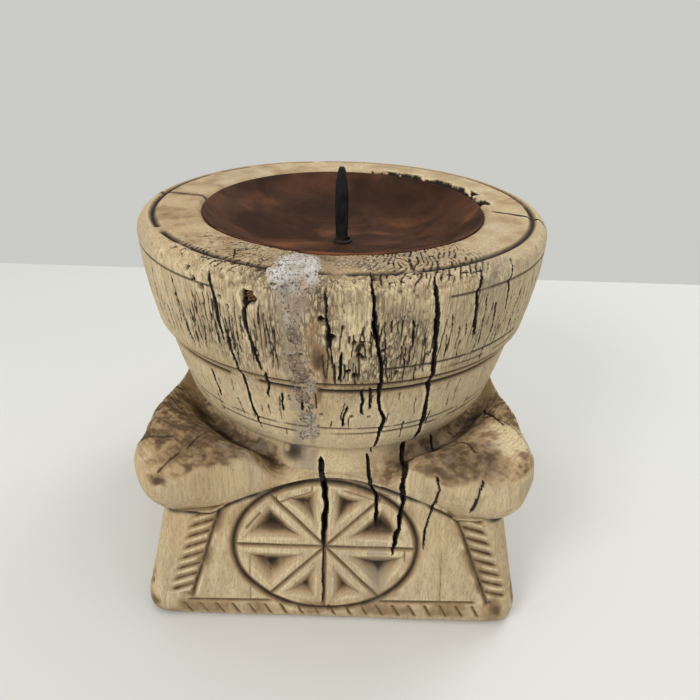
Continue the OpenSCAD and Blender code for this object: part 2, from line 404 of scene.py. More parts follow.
class Block:
    """The grid of the block, with how far each point is cut in and how dark, pale or stained it is, painted
    shade and painted highlights included.

    Rows run from the hollow of the bowl out over the rim and down to the floor, columns right round. On the
    turned part a place is an angle and a level: the height, or on top of the rim the height that the point
    would have if the rim were folded up. Below it, across is the distance from the middle of one side.
    """

    def __init__(self):
        self.theta, self.radius, self.height, self.starts = base_grid()
        self.angle = wrap(self.theta)
        self.points = ring_points(self.radius, self.height, np.radians(self.theta))
        self.worn = self.points
        self.normals = grid_normals(self.points)
        self.rows = len(self.radius)
        self.bowl_rows = self.starts["slab_top"]
        bowl_r = self.radius[: self.bowl_rows, 0]
        bowl_z = self.height[: self.bowl_rows, 0]
        on_top = (bowl_r < BEAD_IN) & (np.arange(self.bowl_rows) <= self.bowl_rows / 2)
        self.level = np.where(on_top, RIM_Z + BEAD_IN - bowl_r, bowl_z)
        self.arc = np.concatenate([[0], np.cumsum(np.hypot(np.diff(bowl_r), np.diff(bowl_z)))])
        self.hidden_rows = int(np.argmax(bowl_z > RIM_Z - 1.2))
        self.face = np.round(self.theta / 90).astype(int) % 4
        self.across = self.radius * np.sin(np.radians(self.theta - 90 * np.round(self.theta / 90)))
        for name in ("depth", *FIELDS):
            setattr(self, name, np.zeros(self.radius.shape))

    def turned(self):
        """Rows of the turned part, with the angle, level, radius and place of their points."""
        rows = slice(0, self.bowl_rows)
        return rows, self.angle[None, :], self.level[:, None], self.radius[rows], self.points[rows]

    def patch(self, angle, level, half_angle, half_level):
        """A soft-edged patch of the turned part, as numbers from 0 to 1 on its rows."""
        round_part = bump(wrap(self.angle - angle), 0, half_angle)[None, :]
        return round_part * bump(self.level, level, half_level)[:, None]

    def around(self, angle, level, half_angle, half_level):
        """Grid points near a place on the turned part, and how far each is from it."""
        rows = np.flatnonzero(np.abs(self.level - level) < half_level)
        rows = rows[rows > self.hidden_rows]
        columns = np.flatnonzero(np.abs(wrap(self.angle - angle)) < half_angle)
        at = np.ix_(rows, columns)
        side = np.radians(wrap(self.angle[None, columns] - angle)) * self.radius[at]
        return at, np.hypot(side, (self.level[rows] - level)[:, None])

    def raise_to(self, at=slice(None), **fields):
        """Brings the named fields up to at least the given values, at some rows or points of the grid."""
        for name, values in fields.items():
            field = getattr(self, name)
            field[at] = np.maximum(field[at], values)

    def cut(self, at, distance, width, depth, shade):
        """Cuts a steep-sided crack where distance is small, and darkens a slightly wider band."""
        narrower, least_half, wider, soft = 0.36, 0.2, 0.1, 0.12
        open_here = width > 0.05
        share = np.abs(distance) / np.maximum(width / 2 - narrower, least_half)
        inside = np.clip(1.3 - share**1.5 * 1.15, 0, 1) * open_here
        edge = width / 2 + wider - np.abs(distance)
        self.raise_to(at, depth=inside * depth, dark=ramp(edge, -soft, soft) * shade * open_here)

    def turned_crack(self, path, width, depth, seed, shade=1.0):
        """A drying crack on the turned part. path is angle and level from one end to the other."""
        path = np.asarray(sorted(path, key=lambda place: place[1]), float)
        rows = np.flatnonzero((self.level > path[0, 1]) & (self.level < path[-1, 1]))
        rows = rows[rows > self.hidden_rows]
        level = self.level[rows]
        middle = np.interp(level, path[:, 1], path[:, 0])
        wobble = line_noise(level, 3.4, seed) * 0.28 + line_noise(level, 1.1, seed + 1) * 0.12
        share = (level - path[0, 1]) / (path[-1, 1] - path[0, 1])
        taper = np.clip(np.minimum(share, 1 - share) * 9, 0, 1) ** 0.6
        local_width = width * taper * (1 + 0.3 * line_noise(level, 3.5, seed + 2))
        lowest, highest = path[:, 0].min() - 4, path[:, 0].max() + 4
        columns = np.flatnonzero(np.abs(wrap(self.angle - (lowest + highest) / 2)) < (highest - lowest) / 2)
        to_middle = wrap(self.angle[None, columns] - middle[:, None])
        distance = np.radians(to_middle) * self.radius[rows, 0][:, None] + wobble[:, None]
        self.cut(np.ix_(rows, columns), distance, local_width[:, None], depth * taper[:, None], shade)

    def lower_crack(self, face, path, width, depth, seed, shade=1.0):
        """A crack below the neck, given as the distance across one side and the height."""
        path = np.asarray(sorted(path, key=lambda place: place[1]), float)
        at = np.ix_(np.arange(self.bowl_rows - 22, self.rows), np.flatnonzero(self.face == face))
        z = self.height[at]
        middle = np.interp(z, path[:, 1], path[:, 0])
        wobble = line_noise(z, 3.8, seed) * 0.3 + line_noise(z, 1.2, seed + 1) * 0.12
        share = (z - path[0, 1]) / (path[-1, 1] - path[0, 1])
        taper = np.clip(np.minimum(share * 8, (1 - share) * 30 + 0.4), 0, 1) ** 0.6
        taper = np.where((share < 0) | (share > 1.02), 0, taper)
        local_width = width * taper * (1 + 0.3 * line_noise(z, 4.2, seed + 2))
        self.cut(at, self.across[at] - middle + wobble, local_width, depth * taper, shade)

    def wear_down(self):
        """Moves the surface in by its depth, keeping the foot flat and nothing above the rim."""
        self.worn = self.points - self.normals * self.depth[..., None]
        self.worn[..., 2] = np.clip(self.worn[..., 2], 0, RIM_Z)
        flat = slice(self.starts["foot"] + 4, None)
        self.worn[flat, :, 2] = self.points[flat, :, 2]


# ================================================================ carved and turned lines
def carve(block, distance, half, depth, where, shade):
    """A V groove wherever distance is small and the where mask is 1, darkened in colour: painted shade in the
    groove.
    """
    share = ridge(distance, half) * where
    block.raise_to(depth=share * depth, stain=share**0.7 * shade, dark=share**1.6 * shade * 0.85)


def turned_grooves(block):
    """The rings scored into the bowl, worn away here and there."""
    rows, angle = block.turned()[:2]
    swing = np.radians(block.theta)
    around = np.stack([np.sin(swing), np.cos(swing)], -1)
    bead_start = np.interp(-RIM_Z, -block.level, block.arc)
    grooves = [
        # place down the profile or level, half width, depth, shade, first and last angle where it shows
        (bead_start - 0.2, 1.9, 1.4, 1.0, 0, 360),
        (RIM_Z - 8.0, 0.85, 0.6, 0.85, 24, -26),
        (RIM_Z - 32.0, 0.9, 0.6, 0.9, 9, 120),
        (RIM_Z - 35.2, 0.8, 0.5, 0.75, 20, 150),
        (RIM_Z - 38.8, 1.5, 1.3, 1.0, 0, 360),
        (RIM_Z - 42.3, 1.4, 1.2, 1.0, 0, 360),
        (RIM_Z - 60.4, 0.9, 0.7, 0.8, 0, 360),
        (RIM_Z - 63.2, 0.95, 0.8, 0.85, 0, 360),
    ]
    for number, (place, half, depth, shade, first, last) in enumerate(grooves):
        wander = 0.5 * (noise(around, 0.35, 300 + number) - 0.5)
        worn = ramp(noise(around, 0.1, 320 + number), 0.08, 0.35)
        span = (last - first) % 360
        past_first = (angle - first) % 360
        shown = worn * (ramp(past_first, 0, 4) * ramp(span - past_first, 0, 4) if span else 1.0)
        middle = place if number == 0 else np.interp(-place, -block.level, block.arc)
        distance = block.arc[:, None] - middle - wander
        share = ridge(distance, half) * shown
        block.raise_to(rows, depth=share * depth, dark=share**0.8 * shade)
        if half > 1.2:
            block.raise_to(rows, stain=bell(distance, 2.6) * 0.45 * shown)


# ================================================================ cracks
def measured_cracks(block):
    """The long drying cracks at the front, from the rim to the foot."""
    turned = [
        # angle and level of each bend, width, depth
        ([(7.7, 147), (7.9, 139), (8.5, 130), (10, 121), (11.3, 113), (12.5, 94.5), (14.9, 89), (13.6, 79),
          (13.5, 69)], 1.3, 6),
        ([(22.4, 144), (22.8, 138), (23.9, 127), (25.1, 113), (27.5, 97), (28.6, 84), (28.4, 69)], 1.6, 8),
        ([(-31.3, 142), (-30, 133), (-30, 125), (-29.5, 117.6)], 1.2, 4),
        ([(-28.1, 123.5), (-26.9, 110), (-26.6, 100), (-26.1, 88), (-24.6, 79)], 1.1, 4),
        ([(-21.3, 138), (-21.9, 125.6), (-21.1, 119.5), (-19.3, 109)], 1.2, 4),
        ([(35.6, 144), (34, 136), (36.3, 119)], 1.2, 4),
        ([(47, 144), (45.3, 137), (46.9, 125)], 0.8, 2.5),
        ([(41.7, 131), (43.4, 118)], 0.7, 2),
        ([(17.6, 131), (18.6, 121)], 0.8, 3),
        ([(-45, 137), (-44, 125), (-42, 112)], 0.7, 2),
        ([(-40, 101), (-38.8, 88)], 0.8, 2),
        ([(-18.2, 109), (-19.6, 96)], 1.0, 3),
        ([(-15.2, 100), (-15.7, 91)], 0.8, 2),
        ([(-9.4, 100), (-9.8, 92.5)], 0.8, 2),
        ([(-2.8, 141), (-2.4, 133), (-1.1, 120.5)], 0.8, 3),
        ([(1.2, 119.5), (1, 108.6)], 1.0, 3),
        ([(9.2, 105), (9.6, 94)], 0.8, 3),
        ([(7.2, 104), (7.5, 92)], 0.8, 3),
        ([(3.2, 96), (2.2, 90), (2.0, 86)], 0.8, 2),
        ([(79, 140), (82, 147), (86, 160)], 1.7, 1.0),
        ([(18.6, 145), (20, 151), (17, 158)], 0.6, 0.7),
        ([(-28, 147), (-31, 152), (-26, 158)], 0.7, 0.7),
    ]
    for number, (path, width, depth) in enumerate(turned):
        block.turned_crack(path, width, depth, 400 + 5 * number)
    lower = [
        # distance across the front and height of each bend, width, depth
        ([(11.8, 68.5), (13.2, 59), (15.9, 54), (15.9, 40)], 1.4, 5),
        ([(25.4, 68.5), (24.7, 59), (25.4, 52), (24.7, 46.5), (24, 39), (22.3, 30)], 1.7, 6),
        ([(-5.0, 67.5), (-4.2, 60), (-2.8, 52), (-3.4, 40), (-3.4, 33)], 1.9, 6),
        ([(-3.4, 40), (-3.2, 9)], 0.6, 1.0),
        ([(36.4, 67), (37.5, 61), (36.9, 54), (33.9, 39), (33.6, 33)], 0.8, 2.2),
        ([(51.6, 69), (50.5, 60), (48.7, 52)], 0.8, 2),
    ]
    for number, (path, width, depth) in enumerate(lower):
        block.lower_crack(0, path, width, depth, 560 + 5 * number)


def small_checks(block):
    """Short drying cracks at random, thick in the weathered front and sparse elsewhere."""
    draw = np.random.default_rng(SEED)
    zones = [
        # first and last angle, lowest and highest level, number, shortest and longest, width, depth
        (-40, -14, 108, 137, 44, 4, 18, 0.34, 0.9),
        (-3, 24, 106, 132, 50, 3, 14, 0.34, 0.9),
        (24, 60, 108, 138, 26, 5, 22, 0.34, 0.8),
        (-80, 80, 76, 104, 50, 3, 12, 0.32, 0.7),
        (60, 300, 76, 138, 120, 5, 30, 0.4, 1.0),
        (64, 300, 80, 140, 10, 35, 60, 1.5, 5.0),
        (-80, -40, 108, 138, 24, 6, 26, 0.34, 0.8),
    ]
    seeds = itertools.count(700, 3)
    for first, last, low, high, count, shortest, longest, width, depth in zones:
        for place in range(count):
            angle = first + (last - first) * (place + draw.uniform(0, 1)) / count
            length = draw.uniform(shortest, longest)
            bottom = draw.uniform(low, max(low + 1, high - length))
            lean = draw.normal(0, 0.06) * length * 0.6
            path = [(angle + lean, bottom + length), (angle, bottom)]
            size = width * draw.uniform(0.7, 1.5), depth * draw.uniform(0.5, 1.3)
            block.turned_crack(path, *size, next(seeds), 0.85)
    for unseen_face in (1, 2, 3):
        for _ in range(10):
            middle = draw.uniform(-62, 62)
            top = draw.uniform(20, 60)
            length = draw.uniform(8, 34)
            path = [(middle, top), (middle + draw.normal(0, 0.7), top - length)]
            size = draw.uniform(0.5, 0.9), draw.uniform(0.6, 1.6)
            block.lower_crack(unseen_face, path, *size, next(seeds), 0.8)
        for _ in range(3):
            middle = draw.uniform(-40, 40)
            bend = middle + draw.normal(0, 2)
            path = [(middle, 61), (bend, 50), (middle + draw.normal(0, 2), draw.uniform(10, 35))]
            block.lower_crack(unseen_face, path, draw.uniform(1.4, 2.3), draw.uniform(4, 7), next(seeds))


# ================================================================ wear
def rim_crackle(block, on_rim):
    """Fine crackle on the front of the rim top, with the tanned colour of its inner part."""
    rows, angle, _, radius, spot = block.turned()
    slant = angle + (radius - 60) * 0.5 + 3.0 * (noise(spot, 5, 31) - 0.5)
    lines = np.abs(2 * (slant / 1.7 % 1) - 1)
    cross = np.abs(2 * ((radius + 1.6 * noise(spot, 3, 39)) / 2.3 % 1) - 1)
    broken = noise(spot, (1.6, 1.6, 4), 32)
    along_lines = ramp(lines, 0.4, 0.95) * ramp(broken, 0.25, 0.5)
    crackle = np.maximum(along_lines, ramp(cross, 0.6, 1) * ramp(broken, 0.5, 0.65))
    crackle = crackle * on_rim * np.maximum(bump(angle, 24, 26) ** 0.5, 0.75 * bump(angle, -32, 32) ** 0.5)
    block.depth[rows] += crackle * 0.7
    tanned = on_rim * ramp(RIM_R - radius, 2.5, 5.5)
    cloudy = 0.06 + 0.4 * ramp(layered_noise(spot, 7, 35, 4), 0.3, 0.8) + 0.22 * bump(angle, -75, 60)
    block.raise_to(rows, stain=tanned * cloudy, dark=ramp(crackle, 0.2, 0.62))


def rim_edges(block, on_rim):
    """The notch in the inner edge at the front, the rotten edge at the back and chips along the ring."""
    rows, angle, level, radius, spot = block.turned()
    notch = bump(angle, -7, 6.5) ** 0.5 * ramp(level, RIM_Z + 12.5, RIM_Z + 15.5)
    block.depth[rows] += notch * 2.6 * (0.8 + 0.4 * noise(spot, 2, 33))
    notch_edge = bump(angle, -3, 3.5) ** 0.5 * ramp(level, RIM_Z + 1, RIM_Z + 14) * on_rim
    block.depth[rows] += notch_edge * 1.4

    rot = layered_noise(spot, (3.4, 3.4, 5), 34)
    place = ramp(level, RIM_Z + 11, RIM_Z + 15) * bump(wrap(angle - 130), 0, 44) ** 0.4
    decay = ramp(rot + 0.35 * place, 0.58, 0.74) * ramp(place, 0.1, 0.6)
    block.depth[rows] += decay * 2.6
    block.raise_to(rows, dark=np.maximum(notch * 0.5, ramp(decay, 0.02, 0.35)))
    block.raise_to(rows, stain=place * ramp(rot, 0.25, 0.55))

    chips = ramp(noise(spot, 2.2, 36), 0.5, 0.75)
    chips = chips * bell(radius - RIM_R + 4.2, 1.3) * (level > RIM_Z - 4)
    block.depth[rows] += chips * (bump(angle, 6, 9) + 0.8 * bump(angle, -17, 9))
    block.raise_to(rows, dark=chips * (bump(angle, 6, 8) + 0.8 * bump(angle, -17, 9)).clip(0, 1))


def rim_wear(block):
    """Everything that time has done to the rim and the bead."""
    rows, angle, level, radius, spot = block.turned()
    on_rim = ramp(level, RIM_Z - 7, RIM_Z + 1) * ramp(RIM_Z + 19.5 - level, 0, 2)
    rim_crackle(block, on_rim)
    rim_edges(block, on_rim)

    from_smudge = np.radians(wrap(angle + 96 + 0.1 * (radius - 60))) * radius
    smudge = bell(from_smudge, 1.9) * on_rim
    block.raise_to(rows, stain=smudge, dark=smudge**2 * 0.6)

    bead = bump(level, RIM_Z - 4, 6.5)
    knobs = layered_noise(spot, 4.2, 38)
    front = bump(angle, -2, 62) ** 0.6
    block.depth[rows] += bead * (0.25 + 2.1 * front) * ramp(knobs, 0.4, 0.8)
    block.raise_to(rows, pale=bead * front * ramp(0.75 - knobs, 0.1, 0.5))
    block.raise_to(rows, stain=0.55 * block.patch(-40, RIM_Z + 12, 10, 7))
    block.raise_to(rows, stain=0.35 * block.patch(-28, RIM_Z + 6, 16, 12))


def weathering(block):
    """Low lumps and grain ridges all over, and the deeply eroded front of the bowl."""
    rows, angle, level, _, spot = block.turned()
    eroded = bump(angle, 0, 64) ** 0.6 * ramp(level, 88, 110)
    block.weather[:] = 0.45
    block.weather[rows] = 0.4 + 0.6 * eroded
    # The bowl is paler away from its eroded front: partly lighter, smoother wood on the sides, partly painted
    # light standing in for the light on them.
    block.pale[rows] = 0.4 * (1 - eroded) * (level < RIM_Z - 6)
    block.depth += 1.2 * (layered_noise(block.points, (34, 34, 40), 51, 2) - 0.42)
    ridges = layered_noise(block.points, (1.1, 1.1, 13), 53, 2)
    grain = layered_noise(block.points, (0.75, 0.75, 5), 54, 2)
    block.depth += block.weather * (0.34 * (0.7 - ridges) + 0.24 * (0.7 - grain))
    block.raise_to(dark=ramp(1 - grain, 0.52, 0.82) * 0.42 * block.weather)

    crumbling = [
        # angle, level, half angle, half level, strength
        (8, 124, 22, 20, 1.0), (-27, 124, 16, 16, 0.8), (4, 110, 8, 8, 0.9), (3, 88, 9, 7, 0.5),
    ]
    zone = 0.75 * bump(angle, 0, 58) ** 0.7 * bump(level, RIM_Z - 3, 9)
    for *place, strength in crumbling:
        zone = np.maximum(zone, strength * block.patch(*place))
    pits = ramp(noise(spot, (0.78, 0.78, 2.3), 56), 0.66, 0.9) * zone
    holes = ramp(noise(spot, (1.7, 1.7, 3.0), 57), 0.78, 0.88) * zone
    block.depth[rows] += pits * 0.6 + holes * 1.2
    block.raise_to(rows, dark=(pits * 0.6 + holes * 0.9).clip(0, 1))

    flake = layered_noise(spot, (7, 7, 9), 58, 3)
    step = ramp(flake, 0.5, 0.54) * 0.8 + ramp(flake, 0.62, 0.65) * 0.8
    block.depth[rows] += step * bump(angle, 6, 26) * bump(level, 124, 22)
    sheet = bump(angle, 3, 8) * bump(level, 130, 12)
    block.raise_to(rows, pale=0.8 * sheet * ramp(flake, 0.35, 0.55))


def beetle_holes(block):
    """Round flight holes, most of them on the front left of the rim."""
    draw = np.random.default_rng(SEED + 7)
    places = [
        # angle, level, radius
        (-49, 140.5, 0.9), (-38.5, 140.6, 0.9), (-36.2, 137.8, 0.95), (-33.8, 135.6, 1.1), (-28.5, 134, 0.7),
        (-26.5, 131.5, 0.6), (-3.6, 131.5, 1.0), (-1.3, 125.2, 1.5), (4.2, 123.2, 0.8), (6.3, 123.4, 0.7),
        (5.6, 118, 0.9), (6.8, 117.2, 0.9), (3.0, 112, 0.9), (4.8, 110.5, 1.0), (15.3, 111, 0.8),
        (-8.4, 118, 0.7), (-4.1, 91.5, 0.6), (4.8, 90.8, 0.7), (10, 90.5, 0.6), (-52, 133, 0.5),
    ]
    for _ in range(34):
        places.append((draw.uniform(60, 300), draw.uniform(78, 143), draw.uniform(0.6, 1.0)))
    for angle, level, hole_r in places:
        at, distance = block.around(angle, level, 4, 3)
        inside = ramp(1.35 - distance / hole_r, 0, 0.6)
        block.raise_to(at, depth=inside * 3.2, dark=inside)


def peg_hole(block):
    """The hole that holds the peg stub, with a ragged rim."""
    at, distance = block.around(PEG_ANGLE, PEG_Z, 6, 5)
    ragged = 1 + 0.5 * (noise(block.points[at], 1.1, 81) - 0.35)
    distance = distance / ((PEG_R + 0.35) * ragged)
    block.raise_to(at, depth=ramp(1.25 - distance, 0, 0.3) * 4.5, dark=ramp(1.3 - distance, 0, 0.3))


# ================================================================ carving of the four panels
def rosette(block, across, on_panel, dirt, wander):
    """An oval ring with eight spokes and a pocket between each two of them."""
    spoke_turn = 45
    du, dz = across - ROSETTE_U, block.height - ROSETTE_Z + wander
    share = np.hypot(du / ROSETTE_HALF_U, dz / ROSETTE_HALF_Z)
    out = np.hypot(du, dz)
    reach = out / np.maximum(share, 1e-6)
    ring_gap = out - reach
    inside = (share < 1.0) * on_panel
    carve(block, ring_gap, 2.2, 1.6, on_panel, 0.95)
    block.raise_to(depth=ridge(ring_gap, 3.6) * (ring_gap > 0) * on_panel * 0.8)

    bearing = np.degrees(np.arctan2(dz, du))
    sector = (bearing % spoke_turn) - spoke_turn / 2
    to_spoke = out * np.sin(np.radians(spoke_turn / 2 - np.abs(sector)))
    carve(block, to_spoke, 1.35, 1.4, inside, 0.7)
    bar = 2.7
    outer_edge = reach * 0.86 - out * np.cos(np.radians(sector))
    pocket = np.clip(np.minimum(to_spoke - bar, outer_edge * 0.9), 0, None) * (inside > 0)
    # Painted shade in the pockets: they darken with depth, the upper pockets more, mottled by the dirt noise.
    upper = ramp(np.sin(np.radians(bearing)) * 0.5 + dirt, 0.1, 1.0)
    pocket_shade_and_dirt = ramp(pocket, 0.5, 4.4) * (0.7 + 0.5 * upper) + 0.12 * (pocket > 0)
    shadow = ramp(pocket * (0.6 + 0.5 * dirt), 2.2, 4.6) * 0.8
    block.raise_to(depth=pocket * 0.85, stain=pocket_shade_and_dirt, dark=shadow)
    block.raise_to(stain=bell(ring_gap, 4.5) * on_panel * ramp(dirt, 0.35, 0.75) * 0.55)


def side_border(block, across, on_panel, dirt, side, top, foot):
    """A slanting line down one side of a panel, with a row of nine scallops outside it."""
    length = math.dist(top, foot)
    run_u, run_z = (foot[0] - top[0]) / length, (foot[1] - top[1]) / length
    along = (across - top[0]) * run_u + (block.height - top[1]) * run_z
    beside = ((across - top[0]) * run_z - (block.height - top[1]) * run_u) * -side
    shown = on_panel * ramp(along, -1, 1) * ramp(length - along, -1, 1)
    carve(block, beside, 1.5, 1.6, shown, 0.85)
    drop = along - np.clip(beside, 0, 11) * 0.75
    tooth = (drop / (length / 9)) % 1
    reach_out = ramp(10.5 - beside, 0, 4) * ramp(beside, 0, 1)
    scallop = np.where(tooth < 0.75, tooth / 0.75, (1 - tooth) / 0.25) * reach_out * shown
    # The scallops darken towards their deep end: painted shade in the cuts.
    block.raise_to(depth=scallop * 1.7, stain=scallop**1.3 * 0.95, dark=scallop**5 * 0.55)
    block.raise_to(stain=bell(beside, 3.0) * shown * ramp(dirt, 0.3, 0.7) * 0.85)


def foot_border(block, across, on_panel, dirt):
    """The line along the foot of a panel, the chips below it and the dirt at the corners."""
    height = block.height
    foot_line = height - 10.2 - 0.02 * across
    along_foot = on_panel * ramp(56 - np.abs(across), 0, 2) * ramp(np.abs(across - ROSETTE_U), 18, 22)
    carve(block, foot_line, 1.1, 1.0, along_foot, 0.75)
    tooth = ((across + height * 0.5) / 6.2) % 1
    below = ramp(-foot_line, 0.6, 2) * ramp(foot_line + 8.5, 0, 2)
    chip = ridge(tooth - 0.5, 0.2) * below * ramp(60 - np.abs(across), 0, 2)
    chip[: block.starts["under"]] = 0
    block.raise_to(depth=chip * 0.9, stain=chip * 0.95, dark=chip**3 * 0.5)
    band = ramp(-foot_line, -1, 1) * ramp(foot_line + 9, 0, 4) * ramp(dirt, 0.3, 0.75) * on_panel
    corner = ramp(np.abs(across), 46, 66) * ramp(30 - height, 0, 22) * on_panel
    block.raise_to(stain=np.maximum(band * 0.6, corner * ramp(dirt, 0.25, 0.7) * 0.9))


def carving(block):
    """Rosette, borders and small chips on the four panels, and a few extra cuts on the front one."""
    on_panel = np.zeros(block.height.shape)
    on_panel[block.starts["panel"] - 4 :] = 1.0
    wander = 0.5 * (noise(block.points, 9, 90) - 0.5)
    across = block.across + wander
    dirt = layered_noise(block.points, 7, 92, 3)
    rosette(block, across, on_panel, dirt, wander)
    side_border(block, across, on_panel, dirt, -1, (-41, 50.5), (-53.5, 10))
    side_border(block, across, on_panel, dirt, 1, (44, 50.5), (60, 10))
    foot_border(block, across, on_panel, dirt)
    segments = [
        # ends across and up, half width, depth
        ((-24, 54.2), (-8, 59.8), 0.8, 0.9), ((-21, 50.2), (-8, 55.2), 0.7, 0.8),
        ((-21, 50.2), (-21, 54.8), 0.6, 0.8), ((-8, 55.2), (-8, 60), 0.6, 0.8),
        ((3, 58.5), (20, 54.5), 0.9, 0.9), ((4, 56), (19, 51.5), 0.6, 0.7), ((9, 58), (9, 55), 0.5, 0.6),
        ((15, 56.5), (15.2, 50), 0.6, 0.8), ((14, 33.5), (27, 33.5), 0.6, 0.7),
        ((27, 33.5), (27, 28), 0.6, 0.7), ((-31, 8), (-31, 28), 0.45, 0.4),
        ((41.5, 9), (41, 31), 0.5, 0.6), ((-27, 46), (-32, 40), 0.9, 1.0),
    ]
    front = (block.face == 0)[None, :] * on_panel
    for start, end, half, depth in segments:
        carve(block, to_segment(across, block.height, start, end), half, depth, front, 0.6)


# ================================================================ the slab
def slab_stains_and_neck_shade(block, rows, lumps, dirt, fine):
    """Brown top of the slab with its grey bloom, ring lines, dark valley round the neck, partly stain and
    partly painted shade under the bowl, and pale edge.
    """
    spot, radius, across = block.points[rows], block.radius[rows], np.abs(block.across[rows])
    patchy = layered_noise(spot, (17, 17, 12), 103, 3)
    facing_up = ramp(block.normals[rows][..., 2] + 0.8 * (patchy - 0.5), 0.0, 1.0)
    top = facing_up * ramp(np.abs(block.angle % 90 - 45), 45, 18)[None, :]
    brown = top * (0.6 + 0.65 * ramp(dirt + 0.3 * ramp(86 - radius, 0, 26), 0.3, 0.85))
    brown *= 0.55 + 0.75 * ramp(fine, 0.3, 0.7)
    bloom = top * ramp(layered_noise(spot, 8, 112, 3), 0.52, 0.72)
    rings = (np.hypot(spot[..., 0] + 9, spot[..., 1] - 14) + 5 * lumps) / 1.9 % 1
    line = ramp(np.abs(2 * rings - 1), 0.45, 1) * top
    block.depth[rows] += line * 0.25
    beside_neck = ramp(across, 16, 26)
    # Dark band round the neck: partly stain, partly painted shade under the bowl.
    neck_valley_shade_and_stain = bell(radius - 60.5, 3.4) * beside_neck * (0.35 + 0.5 * ramp(dirt, 0.3, 0.6))
    block.raise_to(rows, stain=brown.clip(0, 1) * 0.85, grey=bloom * 0.7)
    block.raise_to(rows, stain=bell(radius - 62, 5) * beside_neck)
    block.raise_to(rows, dark=np.maximum(line * 0.5 * ramp(fine, 0.3, 0.6), neck_valley_shade_and_stain))
    block.raise_to(rows, pale=ramp(lumps, 0.45, 0.75) * ramp(radius, 72, 84) * 0.5)


def slab_cracks(block, rows):
    """Short wandering cracks on the top of the slab."""
    cracks = [
        # ends in x and y on the slab, half width, depth
        ((-73, -33), (-57, -38), 0.7, 1.6), ((-73, -50), (-66, -47), 0.8, 1.6),
        ((-72, -12), (-58, -20), 1.0, 1.5), ((-70, -58), (-58, -57), 0.5, 1.2),
        ((-52, -62), (-47, -52), 0.5, 1.2), ((-61, -70), (-55, -64), 0.6, 1.4),
        ((62, -44), (58, -24), 0.6, 1.3), ((44, -47), (50, -60), 0.6, 1.4),
        ((57, -30), (68, -52), 0.5, 1.2), ((73, 30), (58, 40), 0.7, 1.6),
        ((60, 66), (48, 48), 0.7, 1.6), ((-50, 66), (-47, 50), 0.7, 1.6),
        ((-73, 40), (-60, 34), 0.8, 1.6), ((30, 66), (33, 55), 0.6, 1.4), ((73, 10), (62, 6), 0.6, 1.5),
    ]
    spot = block.points[rows]
    wander = 2.2 * (layered_noise(spot, 6, 114, 2) - 0.5)
    for start, end, half, depth in cracks:
        share = ridge(to_segment(spot[..., 0] + wander, spot[..., 1] + wander, start, end), half)
        block.raise_to(rows, depth=share * depth, dark=share**0.7 * 0.9)


def slab_wear(block):
    """Worn, stained and cracked top and side of the slab, with marks of its own at the front corners and
    painted shade right of the neck.
    """
    rows = slice(block.starts["slab_top"] - 20, block.starts["under"])
    spot = block.points[rows]
    lumps = layered_noise(spot, 13, 101, 3)
    dirt = layered_noise(spot, (11, 11, 8), 104, 4, 0.62)
    fine = layered_noise(spot, 2.4, 109, 3)
    block.depth[rows] += 3.0 * (0.55 - lumps) * ramp(block.radius[rows], 60, 74)
    slab_stains_and_neck_shade(block, rows, lumps, dirt, fine)
    slab_cracks(block, rows)
    marks = [
        # centre, size along x, y and z, how brown, how pale
        ((-61, -69, 66), (4.5, 6, 2.4), 1.0, 0.0), ((64, -53, 76), (8, 12, 7), 0.0, 1.0),
        # the brown mark at (44, -64, 72), right of the neck, is painted shade under the bowl
        ((44, -64, 72), (18, 9, 7), 1.0, 0.0), ((-46, -60, 72), (19, 9, 5), 0.8, 0.0),
        ((-66, -62, 70), (4, 4, 3), 0.0, 0.7), ((70, -18, 74), (5, 16, 6), 0.0, 0.35),
    ]
    for centre, size, brown, pale in marks:
        share = np.linalg.norm((spot - centre) / size, axis=-1) + 1.6 * (dirt - 0.5) + 0.7 * (fine - 0.5)
        spread = ramp(1.3 - share, 0, 1.0)
        block.stain[rows] *= 1 - spread * pale
        block.raise_to(rows, stain=spread * brown, pale=spread * pale)


def limit_depth(block):
    """Keeps cuts from breaking through where the wood is thin."""
    starts = block.starts
    rim_rows = slice(block.hidden_rows, block.hidden_rows + 45)
    edge_height = block.height[starts["slab_side"]] - block.height[starts["under"]]
    room = np.full(block.depth.shape, 9.0)
    room[: block.hidden_rows] = 0.0
    room[rim_rows] = 3.2
    room[starts["slab_top"] - 12 : starts["slab_side"] - 18] = 1.7
    room[starts["slab_side"] - 18 : starts["under"] - 14] = np.clip(edge_height * 0.4, 1.2, 9)
    room[starts["under"] - 14 : starts["panel"] + 2] = 1.2
    room[starts["foot"] :] = 1.5
    block.depth = np.minimum(block.depth, room)


def cavity_shade_dirt_and_highlights(block):
    """Painted shade and dirt in hollows and painted highlights on ridges, from how the depth differs from its
    surroundings.
    """
    smooth = block.depth.copy()
    for _ in range(2):
        smooth = blur_ring(smooth, 7)
        blur_rows(smooth, 7)
    gap = block.depth - smooth
    block.raise_to(dark=ramp(gap, 0.06, 0.9) * 0.7, pale=ramp(-gap, 0.04, 0.4) * 0.9)


# ================================================================ plaster and what it left on the wood, and painted shadow under the slab's edge
def plaster_edges(level):
    """Left and right edge of the plaster streak, as angles, down the bowl."""
    left = [(76, -14.5), (82, -14), (105, -13), (130, -13), (139, -14), (145, -18), (156, -17), (160, -14)]
    right = [(76, -6), (83, -5), (108, -5.5), (128, -8), (139, -5), (145, -3.5), (156, -5), (160, -8)]
    return np.interp(level, *zip(*left)), np.interp(level, *zip(*right))


